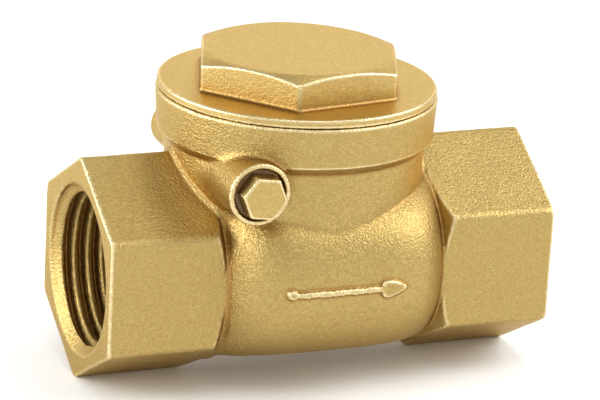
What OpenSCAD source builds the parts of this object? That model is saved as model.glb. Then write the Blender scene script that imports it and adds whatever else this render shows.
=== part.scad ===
// Swing check valve: a cast brass body with two hexagonal threaded ends, a screwed bonnet,
// and a soft-faced clapper that hangs from a hinge pin inside.
// Axes: +X is the flow direction, +Z points to the bonnet. The origin is on the flow axis, where the
// inlet's thread begins behind its countersink. Inside the modules x is counted from the middle of the
// body, and placed() moves a piece to the origin.

/* [Ends] */
// Length from inlet face to outlet face
face_to_face = 58.6; // [58.2:0.1:60]
// Width across the flats of both hexagonal ends
end_flats = 25; // [24.8:0.1:26]
// Length of each hexagonal end
end_len = 14.9; // [14.8:0.1:15.1]
// Major diameter of the parallel pipe thread
port_major_d = 20.955; // [20.9:0.005:21]
// Minor diameter of the inlet's pipe thread
port_minor_d = 18.631; // [18.6:0.001:18.7]
// How much wider the outlet thread's crests are bored
outlet_relief = 0.4; // [0.34:0.02:0.5]
// Pitch of the pipe thread
port_pitch = 1.814; // [1.8:0.001:1.82]
// Number of full thread grooves in each port
port_grooves = 6; // [4:1:6]

/* [Chamber] */
// Half of the bulb's width, from side to side
bulb_half_w = 18; // [17.5:0.1:18.2]
// Half of the bulb's height
bulb_half_h = 11.9; // [11.8:0.1:12.1]
// Radius of the bulb where it meets the hexagonal ends
bulb_end_r = 11.7; // [11.5:0.1:11.8]
// Wall thickness of the bulb
wall = 1.9; // [1.7:0.1:2]
// Radius of the passage through the seat
seat_bore_r = 7; // [6.5:0.1:7.1]
// Height of the raised flow arrow
arrow_raise = 0.45; // [0.3:0.05:0.6]

/* [Neck and bonnet] */
// How far the bonnet's axis lies upstream of the middle
bonnet_back = 1.4; // [1.2:0.1:1.5]
// Radius of the neck
neck_r = 16.1; // [15.9:0.1:16.4]
// Radius of the collar that the bonnet screws into
collar_r = 17.5; // [17.3:0.1:17.8]
// Height of the collar's top face above the flow axis
collar_top = 21.4; // [21.2:0.1:21.8]
// Radius of the bonnet's flange
flange_r = 17.3; // [17:0.1:17.5]
// Width across the flats of the bonnet's hexagon
bonnet_flats = 24; // [23:0.1:25]
// Height of the bonnet's hexagon
bonnet_hex_h = 4; // [3.5:0.1:5]
// Pitch of the bonnet's thread
bonnet_pitch = 1.5; // [1.4:0.05:1.5]

/* [Clapper] */
// Height of the hinge pin above the flow axis
pin_z = 13.6; // [13.5:0.1:13.7]
// How far the hinge pin lies upstream of the middle
pin_back = 12.2; // [12.1:0.1:12.3]
// Diameter of the hinge pin
pin_d = 2.5; // [2.2:0.1:2.6]
// Radius of the clapper disc
disc_r = 9; // [8.6:0.1:9.1]

/* [Hidden] */
$fn = 96;
eps = 0.01;
brass = "#c9a957";
bright_brass = "#d8bc70";
steel = "#b8bcc0";
rubber = "#262626";
fibre = "#8c3b2e";
ptfe = "#76583a";

hex_corner = 1 / cos(30);                  // corner radius over half the flats
edge = 0.2;                                // light break on machined edges

end_face_x = face_to_face / 2;             // of either mouth, from the middle
end_inner_x = end_face_x - end_len;        // where the hexagonal ends stop
end_corner_r = end_flats / 2 * hex_corner - edge;
end_chamfer = 31;                          // degrees, on the inner corners of the ends
port_lead_r = port_major_d / 2 + 0.35;     // mouth of the countersink
port_lead = 1.2;
port_runout = 0.6;                         // plain wall between the last groove and the floor
port_floor_x = end_face_x - port_lead - port_grooves * port_pitch - port_runout;
inlet_r = port_minor_d / 2;
outlet_r = inlet_r + outlet_relief / 2;
port_relief_r = inlet_r - edge;
groove_mouth = 0.42;                       // half a groove's width at its mouth, over the pitch
groove_root = 0.09;                        // and at its root

bulb_step = 4.6;                           // sideways step between the barrels that make the bulb
bulb_steps = 2;                            // steps on either side of the middle barrel
bulb_pinch = 1.07;                         // outer barrels sink into the middle one at the ends
seat_face_x = -14.2;
seat_rim = 1.2;                            // height and width of the raised seat
cavity_from_x = seat_face_x - seat_rim;
cavity_to_x = end_inner_x + 0.6;

collar_taper = 0.3;                        // the collar tapers slightly, as cast
collar_foot_r = collar_r - collar_taper;
collar_foot_z = 16.4;
collar_slope = 1.1;                        // height of the cone between neck and collar
neck_top_z = collar_foot_z - collar_slope;
neck_foot_z = 1;
neck_wall = 2.9;
neck_bore_r = neck_r - neck_wall;
thread_floor_z = pin_z + 3;

boss_r = 3.9;
boss_y = -16.5;                            // the boss's front face
boss_sink_r = 3.3;
boss_sink = 1.2;
rear_boss_r = 3.3;
rear_boss_y = 13.4;
plug_flats = 5;
plug_turn = 8;                             // degrees, of the plug's hexagon
plug_thread_r = 2;
plug_pitch = 0.7;
plug_head = 2.6;
plug_washer_r = 3;
plug_washer_t = 0.4;
plug_tip_y = -8.2;
pin_rear_y = 10.6;
pin_gap = 0.04;
pin_end_gap = 0.1;
plug_gap = 0.05;
lug_r = 2.9;
lug_y = 5.2;                               // inner faces of the two hinge lugs
lug_len = 3.5;
eye_r = 2.4;
eye_half = 5;
eye_gap = 0.5;

bonnet_thread_r = neck_bore_r + 0.8;
thread_gap = 0.1;
thread_depth = 0.5;
gasket_gap = 0.05;
gasket_in_r = bonnet_thread_r + thread_gap + gasket_gap;
gasket_out_r = gasket_in_r + 1.4;
gasket_t = 0.8;
flange_z = collar_top + gasket_gap;
flange_t = 1.05;
bonnet_base_z = flange_z + flange_t;
bonnet_top_z = bonnet_base_z + bonnet_hex_h;
bonnet_turn = -111;                        // degrees, where one corner of the hexagon points
bonnet_bore_r = 11.4;
bonnet_crown = 2.2;                        // slope inside the bonnet's hollow
bonnet_top_r = bonnet_flats / 2 - 0.25;
bonnet_chamfer = 22;
spigot_low_z = thread_floor_z + 0.3;

disc_t = 3;
disc_lip = 0.3;                            // the disc's rim stays this far off the seat
disc_back_x = seat_face_x + disc_lip + disc_t;
seal_t = 1.9;
seal_proud = 0.02;
seal_face_x = seat_face_x + seal_proud;
seal_in_r = 3;
seal_out_r = disc_r - 0.4;
seal_gap = 0.05;
hub_r = 2.5;
hub_end_x = disc_back_x + 2.4;
hub_gap = 0.1;
hub_bore_gap = 0.08;
hub_boss_r = 4.3;
arm_half_w = 2.6;
arm_front_x = 0.2;                         // the web's faces, counted from the pin
arm_back_x = 3.4;
arm_knee = 2;                              // how far below the pin the web leaves the eye
arm_hub_z = 6;                             // height at which the web reaches the hub
bolt_r = 1.5;
bolt_gap = 0.03;
retainer_r = 5.2;
retainer_t = 0.7;
bolt_head_t = 1.6;
bolt_flats = 5.5;
bolt_turn = 15;
bolt_washer_r = 3.4;
bolt_washer_t = 0.6;
nut_t = 2.2;
bolt_end_x = hub_end_x + bolt_washer_t + nut_t + 2 * bolt_gap + 0.5;

arrow_z = 0.9;
arrow_tail_x = -8.2;
arrow_head_x = 4;                          // where the shaft ends
arrow_tip_x = 7.4;
arrow_half_w = 0.45;
arrow_head_half_w = 1.1;
arrow_round = 0.3;                         // how far the cast corners are cut back

// ---- shared shapes ----

// Moves a piece from the middle of the body to the start of the inlet's thread.
module placed() translate([end_face_x - port_lead, 0, 0]) children();

// A turned shape round the flow axis. Its outline is drawn as [radius, x].
module turned_on_x() rotate([0, 90, 0]) rotate_extrude() children();

// A cylinder along +X from x0 to x1.
module rod_x(r, x0, x1) translate([x0, 0, 0]) rotate([0, 90, 0]) cylinder(r = r, h = x1 - x0);

// A cylinder along +Y from y0 to y1.
module rod_y(r, y0, y1) translate([0, y0, 0]) rotate([-90, 0, 0]) cylinder(r = r, h = y1 - y0);

// A cylinder along +Z from z0 to z1, of radius r0 below and r1 above.
module post(r0, z0, z1, r1 = undef) translate([0, 0, z0])
    cylinder(r1 = r0, r2 = is_undef(r1) ? r0 : r1, h = z1 - z0);

// A hexagonal prism along +X.
module hex_x(flats, x0, x1, turn = 0) translate([x0, 0, 0]) rotate([0, 90, 0]) rotate(turn)
    cylinder(r = flats / 2 * hex_corner, h = x1 - x0, $fn = 6);

// A flat ring along +X.
module ring_x(r_in, r_out, x0, x1) difference() {
    rod_x(r_out, x0, x1);
    rod_x(r_in, x0 - eps, x1 + eps);
}

// Puts children on the hinge pin's axis, or on the bonnet's.
module at_pin() translate([-pin_back, 0, pin_z]) children();
module at_bonnet() translate([-bonnet_back, 0, 0]) children();

// One groove of a thread as the outline of a ring: crest radius, depth into the wall, pitch.
module groove_outline(r, depth, pitch) polygon([
    [r - sign(depth) * edge, -groove_mouth * pitch], [r, -groove_mouth * pitch],
    [r + depth, -groove_root * pitch], [r + depth, groove_root * pitch],
    [r, groove_mouth * pitch], [r - sign(depth) * edge, groove_mouth * pitch]
]);

// The bulb is a row of barrels that all touch one ellipse from inside.
function barrel_r(y) =
    bulb_half_h * sqrt(1 - y * y / (bulb_half_w * bulb_half_w - bulb_half_h * bulb_half_h));

// One barrel at a sideways offset, thinned by t, from x0 to x1.
module barrel(y, t, x0, x1) {
    sag = barrel_r(y) - (bulb_end_r - abs(y) * bulb_pinch);
    arc_r = (end_inner_x * end_inner_x + sag * sag) / (2 * sag);
    translate([0, y, 0]) turned_on_x() intersection() {
        translate([barrel_r(y) - t - arc_r, 0]) circle(r = arc_r, $fn = 240);
        translate([0, x0]) square([bulb_half_h + 1, x1 - x0]);
    }
}

module bulb(t, steps, x0, x1) for (i = [-steps : steps]) barrel(i * bulb_step, t, x0, x1);

// ---- valve body ----

// The outlet's hexagonal end.
module hex_end() intersection() {
    hex_x(end_flats, end_inner_x, end_face_x);
    turned_on_x() polygon([
        [0, end_inner_x],
        [end_flats / 2, end_inner_x],
        [end_corner_r, end_inner_x + (end_corner_r - end_flats / 2) * tan(end_chamfer)],
        [end_corner_r, end_face_x - edge],
        [end_corner_r - edge, end_face_x],
        [0, end_face_x]
    ]);
}

module neck_and_collar() at_bonnet() {
    post(neck_r, neck_foot_z, neck_top_z);
    post(neck_r, neck_top_z - eps, collar_foot_z, collar_foot_r);
    post(collar_foot_r, collar_foot_z - eps, collar_top - edge, collar_r);
    post(collar_r, collar_top - edge - eps, collar_top, collar_r - edge);
}

module pin_bosses() at_pin() {
    rod_y(boss_r, boss_y, 0);
    rod_y(rear_boss_r, 0, rear_boss_y);
}

// The raised arrow on the bulb's front, which follows its curve.
module flow_arrow() intersection() {
    barrel(-bulb_steps * bulb_step, -arrow_raise, -end_inner_x, end_inner_x);
    translate([0, 0, arrow_z]) rotate([90, 0, 0]) linear_extrude(bulb_half_w + 2 * arrow_raise) {
        translate([arrow_tail_x, -arrow_half_w])
            square([arrow_head_x - arrow_tail_x + eps, 2 * arrow_half_w]);
        polygon([
            [arrow_head_x, -arrow_head_half_w], [arrow_head_x + arrow_head_half_w, -arrow_head_half_w],
            [arrow_tip_x, -arrow_round], [arrow_tip_x, arrow_round],
            [arrow_head_x + arrow_head_half_w, arrow_head_half_w], [arrow_head_x, arrow_head_half_w]
        ]);
    }
}

// The outlet's threaded bore, with crests of radius r.
module port_cut(r) {
    rod_x(r, port_floor_x, end_face_x + eps);
    turned_on_x() polygon([
        [0, end_face_x - port_lead], [r, end_face_x - port_lead],
        [port_lead_r, end_face_x], [port_lead_r, end_face_x + 1], [0, end_face_x + 1]
    ]);
    for (i = [0 : port_grooves - 1])
        turned_on_x() translate([0, end_face_x - port_lead - (i + 0.75) * port_pitch])
            groove_outline(r, port_major_d / 2 - r, port_pitch);
}

module bonnet_cut() {
    at_bonnet() {
        post(neck_bore_r, 0, collar_top + eps);
        post(bonnet_thread_r + thread_gap, thread_floor_z, collar_top + eps);
        post(gasket_out_r + thread_gap, collar_top - gasket_t, collar_top + eps);
    }
    at_pin() rod_y(eye_r + eye_gap, -lug_y, lug_y);
}

module hinge_lugs() at_pin() {
    rod_y(lug_r, lug_y, lug_y + lug_len);
    rod_y(lug_r, -lug_y - lug_len, -lug_y);
}

module hinge_bores() at_pin() {
    rod_y(pin_d / 2 + pin_gap, plug_tip_y - eps, pin_rear_y + pin_end_gap);
    rod_y(plug_thread_r + plug_gap, boss_y - eps, plug_tip_y);
    rod_y(boss_sink_r, boss_y - eps, boss_y + boss_sink);
}

module valve_body() color(brass) placed() difference() {
    union() {
        difference() {
            union() {
                hex_end();
                mirror([1, 0, 0]) hex_end();
                bulb(0, bulb_steps, -end_inner_x - eps, end_inner_x + eps);
                neck_and_collar();
                pin_bosses();
                flow_arrow();
            }
            bulb(wall, 1, cavity_from_x, cavity_to_x);
            bonnet_cut();
            port_cut(outlet_r);
            mirror([1, 0, 0]) port_cut(inlet_r);
            rod_x(port_relief_r, cavity_to_x - eps, port_floor_x + eps);
        }
        ring_x(seat_bore_r, seat_bore_r + seat_rim, cavity_from_x - eps, seat_face_x);
        hinge_lugs();
    }
    rod_x(seat_bore_r, -port_floor_x - 1, seat_face_x + eps);
    hinge_bores();
}

// ---- bonnet ----

module bonnet_cap() color(bright_brass) placed() at_bonnet() difference() {
    union() {
        post(flange_r - edge, flange_z, flange_z + edge, flange_r);
        post(flange_r, flange_z + edge - eps, bonnet_base_z - edge);
        post(flange_r, bonnet_base_z - edge - eps, bonnet_base_z, flange_r - edge);
        post(bonnet_thread_r, spigot_low_z, flange_z + eps);
        intersection() {
            rotate(bonnet_turn)
                cylinder(r = bonnet_flats / 2 * hex_corner, h = bonnet_top_z, $fn = 6);
            rotate_extrude() polygon([
                [0, bonnet_base_z - eps], [bonnet_flats, bonnet_base_z - eps],
                [bonnet_flats, bonnet_top_z - (bonnet_flats - bonnet_top_r) * tan(bonnet_chamfer)],
                [bonnet_top_r, bonnet_top_z], [0, bonnet_top_z]
            ]);
        }
    }
    post(bonnet_bore_r, spigot_low_z - eps, flange_z);
    post(bonnet_bore_r, flange_z - eps, bonnet_base_z + 1, bonnet_bore_r - bonnet_crown);
    for (z = [spigot_low_z + bonnet_pitch / 2 : bonnet_pitch : flange_z - bonnet_pitch / 2])
        translate([0, 0, z]) rotate_extrude()
            groove_outline(bonnet_thread_r, -thread_depth, bonnet_pitch);
}

module bonnet_gasket() color(fibre) placed() at_bonnet() difference() {
    post(gasket_out_r, collar_top - gasket_t, collar_top);
    post(gasket_in_r, collar_top - gasket_t - eps, collar_top + eps);
}

// ---- hinge pin and its plug ----

module hinge_pin() color(steel) placed() at_pin() rod_y(pin_d / 2, plug_tip_y + pin_end_gap, pin_rear_y);

module pin_plug() color(bright_brass) placed() at_pin() {
    seat_y = boss_y + boss_sink - plug_washer_t;
    difference() {
        rod_y(plug_thread_r, seat_y - eps, plug_tip_y - plug_gap);
        for (y = [boss_y + boss_sink + plug_pitch : plug_pitch : plug_tip_y - plug_pitch])
            translate([0, y, 0]) rotate([-90, 0, 0]) rotate_extrude()
                groove_outline(plug_thread_r, -thread_depth / 2, plug_pitch);
    }
    translate([0, seat_y, 0]) rotate([90, 0, 0]) intersection() {
        rotate(plug_turn) cylinder(r = plug_flats / 2 * hex_corner, h = plug_head, $fn = 6);
        cylinder(r1 = plug_flats / 2 + plug_head, r2 = plug_flats / 2 + edge, h = plug_head);
    }
}

module plug_washer() color(ptfe) placed() at_pin() difference() {
    rod_y(plug_washer_r, boss_y + boss_sink - plug_washer_t, boss_y + boss_sink);
    rod_y(plug_thread_r + plug_gap, boss_y, boss_y + boss_sink + eps);
}

// ---- clapper ----

module swing_arm() color(brass) placed() difference() {
    hub_front_x = disc_back_x + hub_gap + pin_back;
    hub_back_x = hub_end_x - hub_gap + pin_back;
    union() {
        at_pin() rod_y(eye_r, -eye_half, eye_half);
        // the web from the eye down to the hub
        translate([-pin_back, arm_half_w, 0]) rotate([90, 0, 0]) linear_extrude(2 * arm_half_w)
            polygon([
                [arm_front_x, pin_z + eye_r - edge], [arm_back_x / 2, pin_z + eye_r / 2],
                [arm_back_x, pin_z - arm_knee], [hub_back_x, arm_hub_z], [hub_back_x, 0],
                [hub_front_x, 0], [hub_front_x, pin_z - eye_r - edge],
                [arm_front_x, pin_z - eye_r + edge]
            ]);
        rod_x(hub_boss_r, disc_back_x + hub_gap, hub_end_x - hub_gap);
    }
    rod_x(hub_r + hub_bore_gap, disc_back_x, hub_end_x);
    at_pin() rod_y(pin_d / 2 + pin_gap, -eye_half - eps, eye_half + eps);
}

module clapper_disc() color(bright_brass) placed() difference() {
    union() {
        rod_x(disc_r, disc_back_x - disc_t, disc_back_x - disc_lip);
        translate([disc_back_x - disc_lip - eps, 0, 0]) rotate([0, 90, 0])
            cylinder(r1 = disc_r, r2 = disc_r - disc_lip, h = disc_lip + eps);
        rod_x(hub_r, disc_back_x - eps, hub_end_x);
    }
    ring_x(seal_in_r, seal_out_r, disc_back_x - disc_t - eps, seal_face_x + seal_t);
    rod_x(bolt_r + bolt_gap, disc_back_x - disc_t - eps, hub_end_x + eps);
}

module disc_seal() color(rubber) placed()
    ring_x(seal_in_r + bolt_gap, seal_out_r - seal_gap, seal_face_x, seal_face_x + seal_t - eps);

module seal_retainer() color(steel) placed()
    ring_x(bolt_r + bolt_gap, retainer_r, seal_face_x - retainer_t, seal_face_x - eps);

module clapper_bolt() color(steel) placed() {
    head_x = seal_face_x - retainer_t - eps;
    rod_x(bolt_r, head_x - eps, bolt_end_x);
    hex_x(bolt_flats, head_x - bolt_head_t, head_x, bolt_turn);
}

module clapper_washer() color(steel) placed()
    ring_x(bolt_r + bolt_gap, bolt_washer_r, hub_end_x + eps, hub_end_x + bolt_washer_t);

module clapper_nut() color(bright_brass) placed() difference() {
    hex_x(bolt_flats, hub_end_x + bolt_washer_t + eps, hub_end_x + bolt_washer_t + nut_t);
    rod_x(bolt_r + bolt_gap, hub_end_x, hub_end_x + bolt_washer_t + nut_t + eps);
}

valve_body();
bonnet_cap();
bonnet_gasket();
hinge_pin();
pin_plug();
plug_washer();
swing_arm();
clapper_disc();
disc_seal();
seal_retainer();
clapper_bolt();
clapper_washer();
clapper_nut();
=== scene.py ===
"""Looks of the brass swing check valve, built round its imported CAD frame.

Each piece is a closed mesh taken from a distance field. Fields use millimetres, with x counted from the
middle of the valve body; meshes are in metres, in the row frame.
"""

import math

import bpy
import numpy as np
from mathutils import Matrix, Vector

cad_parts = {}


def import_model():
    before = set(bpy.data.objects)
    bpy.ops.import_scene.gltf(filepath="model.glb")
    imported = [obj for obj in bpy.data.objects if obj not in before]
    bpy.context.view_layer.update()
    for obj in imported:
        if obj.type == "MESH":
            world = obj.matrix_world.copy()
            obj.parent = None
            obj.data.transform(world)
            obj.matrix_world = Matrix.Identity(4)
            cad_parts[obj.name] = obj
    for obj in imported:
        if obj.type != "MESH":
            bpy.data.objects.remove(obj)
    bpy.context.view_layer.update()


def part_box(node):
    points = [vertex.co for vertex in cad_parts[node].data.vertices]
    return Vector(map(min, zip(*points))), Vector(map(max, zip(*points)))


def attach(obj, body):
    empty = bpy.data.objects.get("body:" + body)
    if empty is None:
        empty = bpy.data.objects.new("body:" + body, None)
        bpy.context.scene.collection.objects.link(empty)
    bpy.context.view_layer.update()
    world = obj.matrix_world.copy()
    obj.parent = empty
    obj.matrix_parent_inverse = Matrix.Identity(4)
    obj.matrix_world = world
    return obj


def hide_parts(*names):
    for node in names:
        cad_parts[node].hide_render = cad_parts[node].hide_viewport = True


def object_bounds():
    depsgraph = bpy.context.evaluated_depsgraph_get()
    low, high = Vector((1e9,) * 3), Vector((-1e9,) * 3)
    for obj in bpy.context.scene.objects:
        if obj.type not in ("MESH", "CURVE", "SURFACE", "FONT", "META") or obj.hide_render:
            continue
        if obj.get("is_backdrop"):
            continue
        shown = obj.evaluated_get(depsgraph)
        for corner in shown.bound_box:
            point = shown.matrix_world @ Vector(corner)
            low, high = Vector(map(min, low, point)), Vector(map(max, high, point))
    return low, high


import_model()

MM = 0.001


# ---- places taken from the frame, in millimetres ----


def middle_x():
    low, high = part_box("valve_body")
    return (low.x + high.x) / 2 / MM


MID_X = middle_x()


def box_mm(node):
    """Lowest and highest corner of a CAD node, with x counted from the middle of the body."""
    low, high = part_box(node)
    shift = np.array([MID_X, 0, 0])
    return np.array(low) / MM - shift, np.array(high) / MM - shift


CAP_LOW, CAP_HIGH = box_mm("bonnet_cap")
PIN_LOW, PIN_HIGH = box_mm("hinge_pin")
PLUG_LOW, PLUG_HIGH = box_mm("pin_plug")
GASKET_LOW, GASKET_HIGH = box_mm("bonnet_gasket")
DISC_LOW, DISC_HIGH = box_mm("clapper_disc")
BOLT_LOW, BOLT_HIGH = box_mm("clapper_bolt")
NUT_LOW, NUT_HIGH = box_mm("clapper_nut")
BODY_HIGH = box_mm("valve_body")[1]
ARM_HIGH = box_mm("swing_arm")[1]
SEAL_HIGH = box_mm("disc_seal")[1]
WASHER_LOW = box_mm("plug_washer")[0]
RETAINER_LOW = box_mm("seal_retainer")[0]

FACE_X = BODY_HIGH[0]
PIN_X = (PIN_LOW[0] + PIN_HIGH[0]) / 2
PIN_Z = (PIN_LOW[2] + PIN_HIGH[2]) / 2
BONNET_X = (GASKET_LOW[0] + GASKET_HIGH[0]) / 2
COLLAR_TOP = BODY_HIGH[2]


# ---- distance-field shapes ----

CORNER_BLEND = 0.6  # smooths the corners of the casting's hexagons
THREAD_POWER = 1.5  # above 1, a thread is broad at its inner radius and narrow at its outer
STEEP = 0.8  # brings a thread's steep field back to about a distance
LEANING = 0.9  # and a leaning face's, or a fine thread's
SQRT2 = math.sqrt(2)


def smin(a, b, k):
    """Union of two fields with a fillet about k wide."""
    h = np.maximum(k - np.abs(a - b), 0) / k
    return np.minimum(a, b) - h * h * k / 4


def smax(a, b, k):
    """Where two fields overlap, with their edge smoothed over about k."""
    return -smin(-a, -b, k)


def both(a, b, r):
    """Where two fields overlap, with their edge rounded to radius r."""
    a, b = a + r, b + r
    return np.minimum(np.maximum(a, b), 0) + np.hypot(np.maximum(a, 0), np.maximum(b, 0)) - r


def slab(t, low, high):
    return np.abs(t - (low + high) / 2) - (high - low) / 2


def disc(u, v, r):
    return np.hypot(u, v) - r


def hexagon(u, v, flats, turn=0.0, blend=CORNER_BLEND):
    """A hexagon in the u, v plane. At turn 0 one pair of flats faces along u."""
    out = None
    for k in range(3):
        a = turn + k * math.pi / 3
        side = np.abs(u * math.cos(a) + v * math.sin(a)) - flats / 2
        out = side if out is None else smax(out, side, blend)
    return out


def thread_radius(along, around, inner, outer, pitch):
    """Radius of a right-hand thread with rounded crests and roots, at a place along and around its axis."""
    wave = np.cos(2 * math.pi * (along / pitch - around / (2 * math.pi)))
    return inner + (outer - inner) * (0.5 + 0.5 * wave) ** THREAD_POWER


def waves(x, y, z, size, height):
    """A slow unevenness, as of a casting."""
    k = 2 * math.pi / size
    return height * (
        np.sin(k * x + 1.3) * np.sin(0.8 * k * y + 0.4)
        + np.sin(0.7 * k * y + 2.1) * np.sin(1.1 * k * z + 0.9)
        + np.sin(0.9 * k * z + 3.3) * np.sin(0.6 * k * x + 2.2)
    )


# ---- valve body ----

END_FLATS, END_LENGTH = 25.0, 14.9
END_X = FACE_X - END_LENGTH  # inner faces of the hexagonal ends
CHAMFER_SLOPE, CHAMFER_BLEND = math.tan(math.radians(31)), 0.25
END_EDGE, CAST_EDGE, LUG_EDGE, SEAT_EDGE = 0.3, 0.3, 0.2, 0.15

BULB_HALF_W = 17.9
BULB_HALF_H = 11.85
BULB_CROWN_H = 12.8  # where the upper half would end, inside the neck
BULB_END_R = 11.7
BULB_SIDE_R = 12.3
BULB_PLAN_POWER = 4.5  # fullness of the bulb seen from above
BULB_CROWN = 2.9  # fullness of its upper half, seen along the flow
BULB_BELLY = 2.0  # and of its lower half
BULB_ROUND_POWER = 6  # its section turns round only near the ends
BULB_BLEND_H = 4  # height over which the lower half becomes the upper one
BULB_REACH = 1.02  # how far past END_X the shape is followed
BULB_LAP = 0.3  # how far the bulb reaches into the hexagons
WALL = 1.9

BEAD_R = (12.15, 11.85)  # bead beside the inlet's hexagon, and the outlet's
BEAD_INSET, BEAD_WIRE_R = 0.75, 0.44
SEAM_R, SEAM_SINK = 0.34, 0.2  # cast seam where the neck stands on the hexagons

NECK_R, NECK_FOOT_Z, NECK_TOP_Z = 16.1, 1.0, 15.3
COLLAR_FOOT_R, COLLAR_R = 17.2, 17.5
COLLAR_FOOT_Z = 16.4
NECK_BORE_R = 13.2
BONNET_THREAD_R = 14.0
BONNET_GAP = 0.1  # room round the bonnet's thread and its gasket
THREAD_FLOOR_Z = PIN_Z + 3

BOSS_R, BOSS_Y = 3.9, -16.5
SINK_R, SINK_DEPTH, SINK_EDGE = 3.3, 1.2, 0.25
REAR_BOSS_R, REAR_BOSS_Y = 3.3, 13.4
PIN_BORE_R, PLUG_BORE_R = 1.29, 2.05
PIN_END_GAP = 0.1
LUG_R = 2.9
LUG_INNER_Y, LUG_OUTER_Y = 5.2, 8.7

PORT_PITCH = 1.814
PORT_MAJOR_R = 20.955 / 2
PORT_MINOR_R = 18.631 / 2
PORT_DEPTH = 12.684
PORT_RUNOUT = 0.5  # plain length behind the thread
LEAD_OVER, LEAD_SLOPE, LEAD_SCALE = 0.35, 1.27, 1.62  # countersink: width past the thread, and its cone
LEAD_BLEND = 0.15
CAVITY_END_X = 15.0
RELIEF_LOW_X, RELIEF_HIGH_X = 14.9, FACE_X - PORT_DEPTH + 0.2  # bore between the cavity and the outlet
RELIEF_R = PORT_MINOR_R - 0.2
SEAT_R, SEAT_X, SEAT_RIM, SEAT_LAP = 7.0, -14.2, 1.2, 0.3

# fillets where the casting's shapes meet
BEAD_FILLET, END_FILLET, BOSS_FILLET = 0.5, 0.9, 0.9
ARROW_FILLET, NECK_FILLET, SEAM_FILLET = 0.25, 0.35, 0.3
OPENING_EDGE, INNER_FILLET, BORE_EDGE = 0.2, 0.2, 0.15
CAST_WAVE, CAST_UNEVEN = 9.0, 0.02


def bulb(x, y, z, thinner=0.0):
    """The bulb's skin, or the cavity's when a wall's thickness is given."""
    t = np.minimum(np.abs(x) / END_X, BULB_REACH)
    w = BULB_SIDE_R + (BULB_HALF_W - BULB_SIDE_R) * (1 - t**BULB_PLAN_POWER) - thinner
    upper = np.clip(z / BULB_BLEND_H + 0.5, 0, 1)
    tall = BULB_HALF_H + (BULB_CROWN_H - BULB_HALF_H) * upper
    h = BULB_END_R + (tall - BULB_END_R) * (1 - t * t) - thinner
    full = BULB_BELLY + (BULB_CROWN - BULB_BELLY) * upper
    power = 2 + (full - 2) * (1 - t**BULB_ROUND_POWER)
    reach = ((np.abs(y) / w) ** power + (np.abs(z) / h) ** power) ** (1 / power)
    return np.hypot(y, z) * (1 - 1 / np.maximum(reach, 1e-3))


def hex_ends(x, y, z):
    ax, r = np.abs(x), np.hypot(y, z)
    prism = both(hexagon(y, z, END_FLATS), slab(ax, END_X, FACE_X), END_EDGE)
    lean = math.hypot(CHAMFER_SLOPE, 1)
    cone = ((r - END_FLATS / 2) * CHAMFER_SLOPE - (ax - END_X)) / lean
    return smax(prism, cone, CHAMFER_BLEND)


def beads(x, y, z):
    """A thin cast bead where the bulb ends beside each hexagon."""
    ring_r = np.where(x < 0, BEAD_R[0], BEAD_R[1])
    return np.hypot(np.abs(x) - (END_X - BEAD_INSET), np.hypot(y, z) - ring_r) - BEAD_WIRE_R


def neck_and_collar(x, y, z):
    r = np.hypot(x - BONNET_X, y)
    heights, radii = [NECK_TOP_Z, COLLAR_FOOT_Z, COLLAR_TOP], [NECK_R, COLLAR_FOOT_R, COLLAR_R]
    wall_r = np.interp(z, heights, radii)
    return both(r - wall_r, slab(z, NECK_FOOT_Z, COLLAR_TOP), CAST_EDGE)


def bosses(x, y, z):
    u, v = x - PIN_X, z - PIN_Z
    front = both(disc(u, v, BOSS_R), slab(y, BOSS_Y, 0), CAST_EDGE)
    rear = both(disc(u, v, REAR_BOSS_R), slab(y, 0, REAR_BOSS_Y), CAST_EDGE)
    return np.minimum(front, rear)


ARROW_Z = 0.9
ARROW_TAIL_X, ARROW_NECK_X, ARROW_TIP_X = -7.9, 3.7, 7.3
ARROW_HALF_W, ARROW_HEAD_HALF_W, ARROW_TAIL_R = 0.4, 1.15, 0.62
ARROW_RAISE, ARROW_EDGE = 0.5, 0.36
TAIL_FILLET, HEAD_FILLET = 0.3, 0.15


def arrow(x, y, z, skin):
    """The flow arrow: an uneven thin shaft with a small blob at its tail and a leaf-shaped head."""
    v = z - ARROW_Z + 0.03 * np.sin(1.7 * x)
    along = np.clip(x, ARROW_TAIL_X, ARROW_NECK_X)
    slow, fast = 0.03 * np.sin(3.1 * x + 1), 0.02 * np.sin(7.3 * x)
    shaft = np.hypot(x - along, v) - ARROW_HALF_W - slow - fast
    tail = np.hypot(x - ARROW_TAIL_X, v) - ARROW_TAIL_R
    middle, half = (ARROW_TIP_X + ARROW_NECK_X) / 2, (ARROW_TIP_X - ARROW_NECK_X) / 2
    s = np.clip((x - middle) / half, -1, 1)
    leaf_w = ARROW_HEAD_HALF_W * (1 - s) ** 0.85 * (1 + s) ** 0.25 / 1.2  # widest near its back
    head = np.maximum(np.abs(v) - leaf_w, np.abs(x - middle) - half)
    flat = smin(smin(shaft, tail, TAIL_FILLET), head, HEAD_FILLET)
    return np.maximum(both(flat, skin - ARROW_RAISE, ARROW_EDGE), y)


def port_cut(x, y, z):
    """Both threaded ports with their countersinks. The thread fades out over its last millimetre."""
    r, depth = np.hypot(y, z), FACE_X - np.abs(x)
    fade = np.clip(PORT_DEPTH - PORT_RUNOUT - depth, 0, 1)
    outer = PORT_MINOR_R + (PORT_MAJOR_R - PORT_MINOR_R) * fade
    wall_r = thread_radius(x, np.arctan2(z, y), PORT_MINOR_R, outer, PORT_PITCH)
    bore = np.maximum((r - wall_r) * STEEP, depth - PORT_DEPTH)
    lead = (r - PORT_MAJOR_R - LEAD_OVER + LEAD_SLOPE * depth) / LEAD_SCALE
    return smin(bore, lead, LEAD_BLEND)


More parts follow.
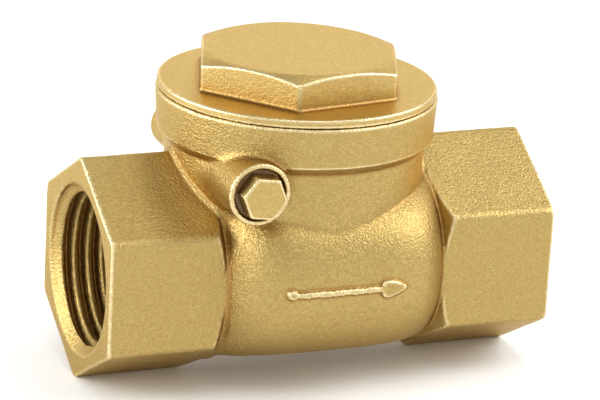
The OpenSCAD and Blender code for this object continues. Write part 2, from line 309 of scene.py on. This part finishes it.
def neck_cut(x, y, z):
    """The neck's bore, the bonnet's plain thread bore, the gasket's recess and room for the arm's eye."""
    r = np.hypot(x - BONNET_X, y)
    chamber = np.maximum(r - NECK_BORE_R, -z)
    thread = np.maximum(r - BONNET_THREAD_R - BONNET_GAP, THREAD_FLOOR_Z - z)
    recess = np.maximum(r - GASKET_HIGH[1] - BONNET_GAP, GASKET_LOW[2] - z)
    eye = np.maximum(disc(x - PIN_X, z - PIN_Z, LUG_R), np.abs(y) - LUG_INNER_Y)
    return np.minimum(np.minimum(chamber, thread), np.minimum(recess, eye))


def chamber_cut(x, y, z):
    hollow = np.maximum(bulb(x, y, z, WALL), slab(x, SEAT_X - SEAT_RIM, CAVITY_END_X))
    relief = np.maximum(disc(y, z, RELIEF_R), slab(x, RELIEF_LOW_X, RELIEF_HIGH_X))
    return np.minimum(hollow, relief)


def hinge_cut(x, y, z):
    """Bores of the pin and the plug, and the sink round the plug's head. The last two open past the boss."""
    u, v = x - PIN_X, z - PIN_Z
    pin = np.maximum(disc(u, v, PIN_BORE_R), slab(y, PLUG_HIGH[1], PIN_HIGH[1] + PIN_END_GAP))
    plug = np.maximum(disc(u, v, PLUG_BORE_R), slab(y, BOSS_Y - 1, PLUG_HIGH[1]))
    sink = both(disc(u, v, SINK_R), slab(y, BOSS_Y - 3, BOSS_Y + SINK_DEPTH), SINK_EDGE)
    return np.minimum(np.minimum(pin, plug), sink)


def seat_and_lugs(x, y, z):
    rim = np.abs(np.hypot(y, z) - SEAT_R - SEAT_RIM / 2) - SEAT_RIM / 2
    seat = both(rim, slab(x, SEAT_X - SEAT_RIM - SEAT_LAP, SEAT_X), SEAT_EDGE)
    sides = slab(np.abs(y), LUG_INNER_Y, LUG_OUTER_Y)
    return np.minimum(seat, both(disc(x - PIN_X, z - PIN_Z, LUG_R), sides, LUG_EDGE))


def body_field(x, y, z):
    skin, ends = bulb(x, y, z), hex_ends(x, y, z)
    rounded = smax(skin, np.abs(x) - END_X - BULB_LAP, BULB_LAP)
    shell = smin(rounded, beads(x, y, z), BEAD_FILLET)
    shell = smin(shell, arrow(x, y, z, skin), ARROW_FILLET)
    shell = smin(shell, ends, END_FILLET)
    tower = smin(neck_and_collar(x, y, z), bosses(x, y, z), BOSS_FILLET)
    seam = np.hypot(np.maximum(tower, -SEAM_SINK), np.maximum(ends, -SEAM_SINK)) - SEAM_R
    solid = smin(smin(shell, tower, NECK_FILLET), seam, SEAM_FILLET)
    solid = solid + waves(x, y, z, CAST_WAVE, CAST_UNEVEN)
    cuts = np.minimum(port_cut(x, y, z), np.minimum(neck_cut(x, y, z), chamber_cut(x, y, z)))
    solid = smax(solid, -cuts, OPENING_EDGE)
    solid = smin(solid, seat_and_lugs(x, y, z), INNER_FILLET)
    way = np.maximum(np.hypot(y, z) - SEAT_R, slab(x, -FACE_X + PORT_DEPTH - 1, SEAT_X + 1))
    return smax(solid, -np.minimum(way, hinge_cut(x, y, z)), BORE_EDGE)


# ---- bonnet and plug ----

BONNET_FLATS, BONNET_TURN, BONNET_CORNER = 24.0, math.radians(-81), 0.4
BONNET_CHAMFER, CHAMFER_INSET = math.tan(math.radians(22)), 0.25
BONNET_PITCH, BONNET_THREAD_DEPTH = 1.5, 0.5
BONNET_UNEVEN, BONNET_WAVE = 0.01, 11.0
FLANGE_R, FLANGE_TOP, FLANGE_EDGE = 17.3, 22.5, 0.22
FLANGE_GAP = 0.05  # between the flange and the gasket
HEAD_EDGE, HEAD_BLEND, HEAD_FOOT = 0.15, 0.2, 0.5
SPIGOT_TOP, SPIGOT_BEVEL, BEVEL_SCALE, SPIGOT_EDGE = FLANGE_TOP - 0.6, 0.4, 0.7, 0.1
CAP_HOLLOW_R, HOLLOW_EDGE = 11.4, 0.25
CROWN_SLOPE, CROWN_SCALE = 1.07, 1.46  # cone at the top of the hollow

PLUG_FLATS, PLUG_TURN = 5.0, math.radians(22)
PLUG_THREAD_R, PLUG_PITCH = (1.75, 2.0), 0.7
PLUG_BEVEL_R, PLUG_EDGE, PLUG_LAP = 2.75, 0.2, 0.2
PIN_EDGE = 0.2
SMALL_CORNER, SMALL_BLEND = 0.15, 0.15  # on the plug, the bolt and the nut


def cap_field(x, y, z):
    u, v = x - BONNET_X, y
    r = np.hypot(u, v)
    foot, top = GASKET_HIGH[2], CAP_HIGH[2]
    flange = both(r - FLANGE_R, slab(z, foot + FLANGE_GAP, FLANGE_TOP), FLANGE_EDGE)
    prism = hexagon(u, v, BONNET_FLATS, BONNET_TURN, BONNET_CORNER)
    head = both(prism, slab(z, FLANGE_TOP - 1, top), HEAD_EDGE)
    cone = z - top + (r - BONNET_FLATS / 2 + CHAMFER_INSET) * BONNET_CHAMFER
    head = smax(head, cone / math.hypot(1, BONNET_CHAMFER), HEAD_BLEND)
    root_r = BONNET_THREAD_R - BONNET_THREAD_DEPTH
    outer = thread_radius(z, np.arctan2(v, u), root_r, BONNET_THREAD_R, BONNET_PITCH)
    spigot = np.maximum((r - outer) * STEEP, slab(z, CAP_LOW[2], SPIGOT_TOP))
    spigot = smax(spigot, (r - BONNET_THREAD_R + SPIGOT_BEVEL + CAP_LOW[2] - z) * BEVEL_SCALE, SPIGOT_EDGE)
    solid = smin(smin(flange, head, HEAD_FOOT), spigot, SMALL_BLEND)
    solid = solid + waves(x, y, z, BONNET_WAVE, BONNET_UNEVEN)
    hollow = np.maximum(r - CAP_HOLLOW_R, z - foot)
    crown = (r - CAP_HOLLOW_R + CROWN_SLOPE * (z - foot)) / CROWN_SCALE
    crown = np.maximum(crown, slab(z, foot - 0.5, FLANGE_TOP + 1))
    return smax(solid, -np.minimum(hollow, crown), HOLLOW_EDGE)


def plug_field(x, y, z):
    u, v = x - PIN_X, z - PIN_Z
    r, seat_y = np.hypot(u, v), WASHER_LOW[1]
    prism = hexagon(u, v, PLUG_FLATS, PLUG_TURN, SMALL_CORNER)
    head = both(prism, slab(y, PLUG_LOW[1], seat_y), PLUG_EDGE)
    bevel = (PLUG_LOW[1] - y + r - PLUG_BEVEL_R) / SQRT2
    outer = thread_radius(-y, np.arctan2(v, u), *PLUG_THREAD_R, PLUG_PITCH)
    shank = np.maximum((r - outer) * STEEP, slab(y, seat_y - PLUG_LAP, PLUG_HIGH[1]))
    return smin(smax(head, bevel, SMALL_BLEND), shank, SMALL_BLEND)


# ---- arm and clapper ----

EYE_R, EYE_EDGE = 2.4, 0.25
ARM_HALF_W, ARM_EDGE = 2.6, 0.4
HUB_R, HUB_LENGTH, HUB_BORE_R = 4.3, 2.3, 2.58
EYE_FILLET, HUB_FILLET = 0.8, 0.6
ARM_WAVE, ARM_UNEVEN = 5.0, 0.015
HUB_FACE_BELOW = -3  # height from the pin under which the front is the hub's flat face
FAR_INSIDE = -9  # a field value that cuts nothing

DISC_HUB_R, DISC_HUB_LENGTH = 2.5, 2.4
DISC_EDGE, DISC_FILLET, POCKET_EDGE = 0.25, 0.4, 0.1
POCKET_IN_R = 3
POCKET_GAP = 0.05  # round the seal
FLOOR_GAP = 0.01  # between pieces that lie flat on each other

BOLT_FLATS, BOLT_TURN, BOLT_BEVEL_R, NUT_BEVEL_R = 5.5, math.radians(15), 2.85, 2.8
BOLT_THREAD_R, BOLT_PITCH, BOLT_BORE_R = (1.3, 1.5), 0.5, 1.53
BOLT_LAP = 0.4
FINE_EDGE, FINE_BLEND = 0.12, 0.1


def arm_field(x, y, z):
    u, v = x - PIN_X, z - PIN_Z
    eye = both(disc(u, v, EYE_R), np.abs(y) - ARM_HIGH[1], EYE_EDGE)
    hub_front, hub_back = DISC_HIGH[0] - HUB_LENGTH, ARM_HIGH[0]
    hub = both(disc(y, z, HUB_R), slab(x, hub_front, hub_back), EYE_EDGE)
    # the web hangs from the eye and leans back to the hub: its faces, at heights counted from the pin
    front = np.interp(v, [-2.6, -2.2], [hub_front - PIN_X, 0.2])
    back = np.interp(v, [6 - PIN_Z, -2, 1.2, 2.2], [hub_back - PIN_X, 3.4, 1.7, 0.2])
    web = both(np.maximum(front - u, u - back) * LEANING, np.abs(y) - ARM_HALF_W, ARM_EDGE)
    web = np.maximum(web, slab(z, 0, PIN_Z + 2.2))
    solid = smin(smin(eye, web, EYE_FILLET), hub, HUB_FILLET) + waves(x, y, z, ARM_WAVE, ARM_UNEVEN)
    solid = np.maximum(solid, np.where(v < HUB_FACE_BELOW, hub_front - x, FAR_INSIDE))
    solid = np.maximum(solid, x - hub_back)
    holes = np.minimum(disc(y, z, HUB_BORE_R), disc(u, v, PIN_BORE_R))
    return smax(solid, -holes, FINE_EDGE)


def disc_field(x, y, z):
    r = np.hypot(y, z)
    back = DISC_HIGH[0] - DISC_HUB_LENGTH
    plate = both(r - DISC_HIGH[1], slab(x, DISC_LOW[0], back), DISC_EDGE)
    hub = both(r - DISC_HUB_R, slab(x, back - 1, DISC_HIGH[0]), SMALL_BLEND)
    wall_r = SEAL_HIGH[1] + POCKET_GAP
    pocket = np.abs(r - (POCKET_IN_R + wall_r) / 2) - (wall_r - POCKET_IN_R) / 2
    pocket = np.maximum(pocket, x - SEAL_HIGH[0] - FLOOR_GAP)
    hole = r - BOLT_BORE_R
    return smax(smin(plate, hub, DISC_FILLET), -np.minimum(pocket, hole), POCKET_EDGE)


def bolt_field(x, y, z):
    r = np.hypot(y, z)
    shank_x = RETAINER_LOW[0]
    prism = hexagon(y, z, BOLT_FLATS, BOLT_TURN, SMALL_CORNER)
    head = both(prism, slab(x, BOLT_LOW[0], shank_x - FLOOR_GAP), FINE_EDGE)
    bevel = (BOLT_LOW[0] - x + r - BOLT_BEVEL_R) / SQRT2
    outer = thread_radius(x, np.arctan2(z, y), *BOLT_THREAD_R, BOLT_PITCH)
    wall_r = np.where(x > NUT_LOW[0], outer, BOLT_THREAD_R[1])
    shank = both((r - wall_r) * LEANING, slab(x, shank_x - BOLT_LAP, BOLT_HIGH[0]), SMALL_BLEND)
    return smin(smax(head, bevel, FINE_EDGE), shank, FINE_BLEND)


def nut_field(x, y, z):
    r = np.hypot(y, z)
    middle, half = (NUT_LOW[0] + NUT_HIGH[0]) / 2, (NUT_HIGH[0] - NUT_LOW[0]) / 2
    body = both(hexagon(y, z, BOLT_FLATS, 0, SMALL_CORNER), slab(x, NUT_LOW[0], NUT_HIGH[0]), FINE_BLEND)
    bevel = (np.abs(x - middle) - half + r - NUT_BEVEL_R) / SQRT2
    return smax(smax(body, bevel, FINE_EDGE), BOLT_BORE_R - r, FINE_BLEND)


def ring_field(node, axis, inner, edge):
    """A flat ring that fills a CAD node's box, with a hole of the given radius."""
    low, high = box_mm(node)
    centre = [(low[k] + high[k]) / 2 for k in range(3) if k != axis]
    outer = (high[(axis + 1) % 3] - low[(axis + 1) % 3]) / 2

    def field(x, y, z):
        across = {0: (y, z), 1: (x, z), 2: (x, y)}[axis]
        r = np.hypot(across[0] - centre[0], across[1] - centre[1])
        band = np.abs(r - (inner + outer) / 2) - (outer - inner) / 2
        return both(band, slab((x, y, z)[axis], low[axis], high[axis]), edge)

    return field


def pin_field(x, y, z):
    r = np.hypot(x - PIN_X, z - PIN_Z)
    return both(r - (PIN_HIGH[0] - PIN_LOW[0]) / 2, slab(y, PIN_LOW[1], PIN_HIGH[1]), PIN_EDGE)


# ---- from field to mesh ----

NEWTON_STEPS = 4
SLOPE_FLOOR = 0.05  # keeps a step short where the field is flat
BEND_REACH = 0.3  # how far from a point its bend is measured
PORT_POLISH, PORT_SHADE = 0.2, 0.15


def grid_surface(field, low, high, step):
    """Points and quads of the field's zero surface: one point in each cell that the surface crosses."""
    axes = [np.arange(low[k] - 1.5 * step, high[k] + 2.5 * step, step, dtype=np.float32) for k in range(3)]
    f = np.asarray(field(axes[0][:, None, None], axes[1][None, :, None], axes[2][None, None, :]), np.float32)
    inside = f < 0
    cells = tuple(n - 1 for n in f.shape)
    corners = [(i, j, k) for i in (0, 1) for j in (0, 1) for k in (0, 1)]

    def shifted(a, c):
        return a[c[0] : c[0] + cells[0], c[1] : c[1] + cells[1], c[2] : c[2] + cells[2]]

    some, every = np.zeros(cells, bool), np.ones(cells, bool)
    for c in corners:
        some |= shifted(inside, c)
        every &= shifted(inside, c)
    where = np.argwhere(some & ~every)
    number = np.full(cells, -1, np.int64)
    number[tuple(where.T)] = np.arange(len(where))
    value = {c: f[tuple((where + c).T)] for c in corners}
    total, count = np.zeros((len(where), 3)), np.zeros(len(where))
    for axis in range(3):
        for c in corners:
            if c[axis]:
                continue
            d = tuple(1 if k == axis else c[k] for k in range(3))
            a, b = value[c], value[d]
            cross = (a < 0) != (b < 0)
            t = np.where(cross, a / np.where(cross, a - b, 1), 0)
            spot = np.array(c, float)[None, :].repeat(len(where), 0)
            spot[:, axis] = t
            total += spot * cross[:, None]
            count += cross
    points = np.array([a[0] for a in axes]) + (where + total / count[:, None]) * step
    quads = []
    for axis in range(3):
        b, c = (axis + 1) % 3, (axis + 2) % 3
        first = np.moveaxis(inside, axis, 0)
        change = np.argwhere(np.moveaxis(first[1:] != first[:-1], 0, axis))
        change = change[(change[:, b] > 0) & (change[:, c] > 0)]
        change = change[(change[:, b] < cells[b]) & (change[:, c] < cells[c])]
        steps = []
        for db, dc in ((1, 1), (0, 1), (0, 0), (1, 0)):
            cell = change.copy()
            cell[:, b] -= db
            cell[:, c] -= dc
            steps.append(number[tuple(cell.T)])
        quad = np.stack(steps, 1)
        leaving = inside[tuple(change.T)]
        quad[~leaving] = quad[~leaving][:, ::-1]
        quads.append(quad)
    return points, np.concatenate(quads)


def gradient(field, p, h):
    g = np.empty_like(p)
    for k in range(3):
        up, down = p.copy(), p.copy()
        up[:, k] += h
        down[:, k] -= h
        g[:, k] = (field(*up.T) - field(*down.T)) / (2 * h)
    return g


def bend(field, p, h):
    """How sharply the surface bends at each point: above 0 on an outer edge, below 0 in a crease."""
    total = -6 * field(*p.T)
    for k in range(3):
        for s in (h, -h):
            q = p.copy()
            q[:, k] += s
            total = total + field(*q.T)
    return total / (h * h)


def body_wear_and_port_shade(points, value):
    """Handling doesn't reach the ports: their crests stay matt, and the whole thread gets painted shade that
    makes it a little darker.
    """
    r = np.hypot(points[:, 1], points[:, 2])
    port = (r < PORT_MAJOR_R + 0.1) & (np.abs(points[:, 0]) > END_X)
    return np.where(port, np.minimum(value, PORT_POLISH * value) - PORT_SHADE, value)


def pull_to_surface(field, points, step):
    """Newton steps towards the field's zero, each at most half a cell long."""
    for _ in range(NEWTON_STEPS):
        g = gradient(field, points, step / 8)
        size = np.maximum((g * g).sum(1), SLOPE_FLOOR)
        move = g * (field(*points.T) / size)[:, None]
        length = np.linalg.norm(move, axis=1, keepdims=True)
        points = points - move * np.minimum(1, 0.5 * step / np.maximum(length, 1e-9))
    return points


def field_mesh(name, field, low, high, step, wear=None):
    """A mesh of the field's surface, with the field's own normals and a record of how it bends."""
    points, quads = grid_surface(field, low, high, step)
    points = pull_to_surface(field, points, step)
    normal = gradient(field, points, step / 3)
    normal /= np.maximum(np.linalg.norm(normal, axis=1, keepdims=True), 1e-9)
    mesh = bpy.data.meshes.new(name)
    mesh.vertices.add(len(points))
    place = (points + [MID_X, 0, 0]) * MM
    mesh.vertices.foreach_set("co", place.astype(np.float32).ravel())
    mesh.loops.add(quads.size)
    mesh.loops.foreach_set("vertex_index", quads.astype(np.int32).ravel())
    mesh.polygons.add(len(quads))
    mesh.polygons.foreach_set("loop_start", np.arange(0, quads.size, 4, dtype=np.int32))
    mesh.polygons.foreach_set("loop_total", np.full(len(quads), 4, np.int32))
    mesh.update()
    mesh.validate()
    mesh.polygons.foreach_set("use_smooth", np.ones(len(mesh.polygons), bool))
    mesh.normals_split_custom_set_from_vertices(normal.astype(np.float32))
    value = bend(field, points, BEND_REACH)
    # the wear function can also paint shade: the body's darkens its ports
    if wear:
        value = wear(points, value)
    record = mesh.attributes.new("bend", "FLOAT", "POINT")
    record.data.foreach_set("value", value.astype(np.float32))
    return mesh


def add_piece(name, node, body, slot, finish, field, step, wear=None):
    """One visible piece in place of one CAD node, as large as the node's box."""
    low, high = box_mm(node)
    obj = bpy.data.objects.new(name, field_mesh(name, field, low, high, step, wear))
    bpy.context.scene.collection.objects.link(obj)
    obj.data.materials.append(finish)
    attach(obj, body)
    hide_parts(node)


# ---- materials ----

EDGE_TINT = (0.82, 0.67, 0.41, 1)  # brass stays warm at grazing angles
LACQUER, LACQUER_ROUGHNESS = 0.4, 0.4  # a thin clear coat, which pales the highlights
SPECK_SHADES, PATCH_SHADE = (0.74, 1.19), 0.97  # shares of a brass's own tone
WORN_BEND, CREASE_SHADE_BEND = (0.7, 2.6), (-0.25, -1.8)  # bends where wear and the painted crease shade begin, and are full
ALONG_FLOW = (0.25, 1.6, 1.6)  # stretches a noise into lines along the flow
ACROSS_FLOW = (1.0, 0.2, 0.2)  # and into rings round it


class Nodes:
    """A small helper that writes a material's node tree."""

    def __init__(self, name):
        self.material = bpy.data.materials.new(name)
        self.material.use_nodes = True
        self.tree = self.material.node_tree
        self.shader = self.tree.nodes["Principled BSDF"]
        coords = self.tree.nodes.new("ShaderNodeTexCoord")
        scale = self.tree.nodes.new("ShaderNodeMapping")
        scale.inputs["Scale"].default_value = (1 / MM,) * 3
        self.tree.links.new(coords.outputs["Object"], scale.inputs["Vector"])
        self.place = scale.outputs["Vector"]  # in millimetres

    def add(self, kind, settings=None, **inputs):
        node = self.tree.nodes.new("ShaderNode" + kind)
        for key, value in (settings or {}).items():
            setattr(node, key, value)
        for key, value in inputs.items():
            self.put(node.inputs[key.replace("_", " ")], value)
        return node

    def put(self, socket, value):
        if isinstance(value, bpy.types.NodeSocket):
            self.tree.links.new(value, socket)
        else:
            socket.default_value = value

    def noise(self, scale, detail=2.0, roughness=0.5, stretch=None):
        place = self.place
        if stretch:
            place = self.add("Mapping", Vector=place, Scale=stretch).outputs[0]
        node = self.add("TexNoise", Vector=place, Scale=scale, Detail=detail, Roughness=roughness)
        return node.outputs["Fac"]

    def span(self, value, low, high, to_low=0.0, to_high=1.0):
        node = self.add("MapRange", Value=value)
        node.inputs["From Min"].default_value = low
        node.inputs["From Max"].default_value = high
        node.inputs["To Min"].default_value = to_low
        node.inputs["To Max"].default_value = to_high
        return node.outputs[0]

    def math(self, operation, a, b):
        node = self.tree.nodes.new("ShaderNodeMath")
        node.operation = operation
        self.put(node.inputs[0], a)
        self.put(node.inputs[1], b)
        return node.outputs[0]

    def mix(self, factor, a, b):
        node = self.tree.nodes.new("ShaderNodeMix")
        node.data_type = "RGBA"
        self.put(node.inputs["Factor"], factor)
        self.put(node.inputs["A"], a)
        self.put(node.inputs["B"], b)
        return node.outputs["Result"]

    def attribute(self, name):
        return self.add("Attribute", {"attribute_name": name}).outputs["Fac"]

    def finish(self, color, roughness, metallic, bump, distance_mm):
        bumped = self.add("Bump", Height=bump, Distance=distance_mm * MM, Strength=1.0)
        self.put(self.shader.inputs["Normal"], bumped.outputs[0])
        self.put(self.shader.inputs["Coat Normal"], bumped.outputs[0])
        self.put(self.shader.inputs["Base Color"], color)
        self.put(self.shader.inputs["Roughness"], roughness)
        self.put(self.shader.inputs["Metallic"], metallic)
        return self.material


def brass(name, base, deep_tone_and_shade, bright, roughness, grain_size, grain_depth, lines):
    """Blasted brass: grain, faint lines along the flow, paler worn edges, and painted shade that darkens the
    creases.
    """
    n = Nodes(name)
    edges = n.attribute("bend")
    fine = n.noise(1 / grain_size, 2.0, 0.6)
    coarse = n.noise(0.45 / grain_size, 3.0, 0.6)
    speck = n.span(n.noise(1.3 / grain_size, 1.0, 0.5), 0.3, 0.7)
    patches = n.noise(0.16, 3.0, 0.55)
    scratches = n.noise(2.2, 2.0, 0.5, stretch=ALONG_FLOW)
    wear_noise = n.span(n.noise(0.9, 3.0, 0.6), 0.3, 0.7, 0.6, 1.0)
    wear = n.math("MULTIPLY", n.span(edges, *WORN_BEND), wear_noise)
    # painted shade in the creases: the more the surface bends inwards, the darker it is painted
    crease = n.span(edges, *CREASE_SHADE_BEND)
    shades = [tuple(k * c for c in base[:3]) + (1,) for k in (*SPECK_SHADES, PATCH_SHADE)]
    tone = n.mix(speck, shades[0], shades[1])
    tone = n.mix(n.span(patches, 0.35, 0.65, 0.0, 0.4), tone, shades[2])
    tone = n.mix(n.span(coarse, 0.35, 0.7, 0.0, 0.3), tone, deep_tone_and_shade)
    # painted shade: the creases take the deep colour
    tone = n.mix(n.math("MULTIPLY", crease, 0.9), tone, deep_tone_and_shade)
    tone = n.mix(n.math("MULTIPLY", wear, 0.7), tone, bright)
    rough = n.span(coarse, 0.3, 0.7, roughness - 0.05, roughness + 0.06)
    rough = n.math("SUBTRACT", rough, n.math("MULTIPLY", wear, 0.12))
    height = n.math("ADD", fine, n.math("MULTIPLY", coarse, 0.5))
    height = n.math("ADD", height, n.math("MULTIPLY", scratches, lines))
    n.put(n.shader.inputs["Specular Tint"], EDGE_TINT)
    n.put(n.shader.inputs["Coat Weight"], LACQUER)
    n.put(n.shader.inputs["Coat Roughness"], LACQUER_ROUGHNESS)
    return n.finish(tone, rough, 1.0, height, grain_depth)


def steel():
    n = Nodes("turned_steel")
    rings = n.noise(6.0, 2.0, 0.5, stretch=ACROSS_FLOW)
    tone = n.mix(n.noise(0.8, 3.0), (0.34, 0.34, 0.35, 1), (0.45, 0.45, 0.45, 1))
    return n.finish(tone, n.span(rings, 0.3, 0.7, 0.22, 0.36), 1.0, rings, 0.01)


def soft(name, dark, light, roughness, grain, depth):
    """Rubber, pressed fibre or PTFE: a mottled tone over a fine grain."""
    n = Nodes(name)
    speck = n.noise(grain, 4.0, 0.65)
    tone = n.mix(n.span(n.noise(0.6, 3.0), 0.35, 0.65), dark, light)
    tone = n.mix(n.span(speck, 0.55, 0.75, 0.0, 0.5), tone, light)
    return n.finish(tone, n.span(speck, 0.3, 0.7, roughness - 0.08, roughness + 0.06), 0.0, speck, depth)


CAST = brass(
    "cast_brass",
    base=(0.465, 0.33, 0.106, 1),
    # the deep colour: a darker tone for random patches, and the painted shade in creases and ports
    deep_tone_and_shade=(0.34, 0.19, 0.045, 1),
    bright=(0.92, 0.78, 0.46, 1),
    roughness=0.36,
    grain_size=0.28,
    grain_depth=0.125,
    lines=0.2,
)
MACHINED = brass(
    "machined_brass",
    base=(0.52, 0.37, 0.122, 1),
    # the deep colour: a darker tone for random patches, and the painted shade in creases and ports
    deep_tone_and_shade=(0.36, 0.20, 0.05, 1),
    bright=(0.93, 0.80, 0.49, 1),
    roughness=0.34,
    grain_size=0.25,
    grain_depth=0.055,
    lines=0.3,
)
STEEL = steel()
RUBBER = soft("rubber", (0.018, 0.018, 0.019, 1), (0.05, 0.05, 0.052, 1), 0.62, grain=3.0, depth=0.02)
FIBRE = soft("fibre", (0.30, 0.075, 0.05, 1), (0.46, 0.16, 0.11, 1), 0.75, grain=4.0, depth=0.02)
PTFE = soft("ptfe", (0.17, 0.10, 0.045, 1), (0.28, 0.18, 0.09, 1), 0.42, grain=3.0, depth=0.008)


# ---- the pieces ----

BODY_STEP, QUICK_BODY_STEP = 0.26, 0.45
CAP_STEP, COARSE_STEP, PIN_STEP, FINE_STEP = 0.25, 0.2, 0.15, 0.12

# each row: piece, CAD node, body, slot, material, field, mesh step
PIECES = [
    ("bonnet_screw_cap", "bonnet_cap", "bonnet", "machined_brass", MACHINED, cap_field, CAP_STEP),
    ("plug_screw", "pin_plug", "plug", "machined_brass", MACHINED, plug_field, FINE_STEP),
    ("arm_casting", "swing_arm", "arm", "cast_brass", CAST, arm_field, COARSE_STEP),
    ("clapper_plate", "clapper_disc", "disc", "machined_brass", MACHINED, disc_field, COARSE_STEP),
    ("clapper_screw", "clapper_bolt", "disc", "steel", STEEL, bolt_field, FINE_STEP),
    ("lock_nut", "clapper_nut", "disc", "machined_brass", MACHINED, nut_field, FINE_STEP),
    ("pivot_pin", "hinge_pin", "body", "steel", STEEL, pin_field, PIN_STEP),
]
# each row: piece, CAD node, body, slot, material, axis, radius of the hole, edge, mesh step
RINGS = [
    ("gasket_ring", "bonnet_gasket", "gasket", "fibre", FIBRE, 2, 14.15, 0.15, COARSE_STEP),
    ("plug_ring", "plug_washer", "plug_seal", "ptfe", PTFE, 1, PLUG_BORE_R, 0.08, FINE_STEP),
    ("seal_ring", "disc_seal", "disc", "rubber", RUBBER, 0, 3.03, 0.2, COARSE_STEP),
    ("retainer_ring", "seal_retainer", "disc", "steel", STEEL, 0, BOLT_BORE_R, 0.12, COARSE_STEP),
    ("nut_ring", "clapper_washer", "disc", "steel", STEEL, 0, BOLT_BORE_R, 0.1, FINE_STEP),
]


def build_pieces():
    body_step = BODY_STEP
    add_piece("body_casting", "valve_body", "body", "cast_brass", CAST, body_field, body_step, body_wear_and_port_shade)
    for piece in PIECES:
        add_piece(*piece)
    for name, node, body, slot, finish, axis, hole_r, edge, step in RINGS:
        add_piece(name, node, body, slot, finish, ring_field(node, axis, hole_r, edge), step)


build_pieces()


# ---- floor, light and camera ----

STUDIO = Vector((MID_X * MM, 0, 0.003))  # where the lights point
FLOOR_HALF = 2.5

# each row: azimuth and elevation in degrees, distance, width, height in metres, power in watts
LIGHTS = {
    "left_box": (-104, 17, 0.40, 0.42, 0.18, 1.3),
    "right_box": (72, 36, 0.44, 0.32, 0.26, 1.25),
    "top_box": (-20, 66, 0.55, 0.4, 0.3, 0.7),
    "roof_box": (115, 72, 0.25, 0.07, 0.06, 0.06),
    "back_box": (157, 23, 0.5, 0.5, 0.26, 0.33),
}

SKY_WHITE_TO, SKY_OVERHEAD = 0.35, 0.42

CAMERA_DEGREES = (23.05, 19.4, 3.26)  # azimuth, elevation and roll
CAMERA_DISTANCE = 0.434
LENS, SENSOR = 207.0, 36.0
SHIFT_X, SHIFT_Y = 0.0035, 0.083


def floor():
    mesh = bpy.data.meshes.new("floor")
    half, z = FLOOR_HALF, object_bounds()[0][2]
    corners = [(-half, -half, z), (half, -half, z), (half, half, z), (-half, half, z)]
    mesh.from_pydata(corners, [], [(0, 1, 2, 3)])
    obj = bpy.data.objects.new("floor", mesh)
    bpy.context.scene.collection.objects.link(obj)
    n = Nodes("floor")
    tone = n.mix(n.noise(0.02, 2.0), (0.94, 0.94, 0.935, 1), (0.96, 0.96, 0.955, 1))
    mesh.materials.append(n.finish(tone, 0.8, 0.0, n.noise(2.0), 0.005))
    obj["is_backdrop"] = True


def softbox(name, azimuth, elevation, distance, width, height, power):
    """An area light that looks at the valve. Azimuth 0 is in front, and 90 to the right."""
    light = bpy.data.lights.new(name, "AREA")
    light.shape, light.size, light.size_y = "RECTANGLE", width, height
    light.energy = power
    obj = bpy.data.objects.new(name, light)
    bpy.context.scene.collection.objects.link(obj)
    a, e = math.radians(azimuth), math.radians(elevation)
    away = Vector((math.sin(a) * math.cos(e), -math.cos(a) * math.cos(e), math.sin(e)))
    obj.location = STUDIO + away * distance
    obj.rotation_euler = away.to_track_quat("Z", "Y").to_euler()


def world():
    """A pale studio: white at the height of the valve, and darker towards the top."""
    w = bpy.data.worlds.new("studio")
    bpy.context.scene.world = w
    w.use_nodes = True
    tree = w.node_tree
    coords = tree.nodes.new("ShaderNodeTexCoord")
    split = tree.nodes.new("ShaderNodeSeparateXYZ")
    ramp = tree.nodes.new("ShaderNodeValToRGB")
    tree.links.new(coords.outputs["Generated"], split.inputs[0])
    tree.links.new(split.outputs["Z"], ramp.inputs["Fac"])
    tree.links.new(ramp.outputs["Color"], tree.nodes["Background"].inputs["Color"])
    stops = ramp.color_ramp.elements
    stops[0].position, stops[0].color = 0.0, (1, 1, 1, 1)
    stops[1].position, stops[1].color = 1.0, (SKY_OVERHEAD, SKY_OVERHEAD, SKY_OVERHEAD, 1)
    middle = stops.new(SKY_WHITE_TO)
    middle.color = (1, 1, 1, 1)
    tree.nodes["Background"].inputs["Strength"].default_value = 1.0


def camera():
    cam = bpy.data.cameras.new("camera")
    obj = bpy.data.objects.new("camera", cam)
    bpy.context.scene.collection.objects.link(obj)
    azimuth, elevation, roll = (math.radians(angle) for angle in CAMERA_DEGREES)
    level = math.cos(elevation)
    forward = Vector((math.sin(azimuth) * level, math.cos(azimuth) * level, -math.sin(elevation)))
    right = Vector((math.cos(azimuth), -math.sin(azimuth), 0))
    up = right.cross(forward)
    right, up = math.cos(roll) * right + math.sin(roll) * up, math.cos(roll) * up - math.sin(roll) * right
    turn = Matrix((right, up, -forward)).transposed().to_4x4()
    obj.matrix_world = Matrix.Translation(Vector((MID_X * MM, 0, 0)) - forward * CAMERA_DISTANCE) @ turn
    cam.sensor_width, cam.lens = SENSOR, LENS
    cam.shift_x, cam.shift_y = SHIFT_X, SHIFT_Y
    cam.clip_start, cam.clip_end = 0.01, 20
    bpy.context.scene.camera = obj


floor()
world()
for light_name, settings in LIGHTS.items():
    softbox(light_name, *settings)
camera()
bpy.context.scene.view_settings.view_transform = "Standard"
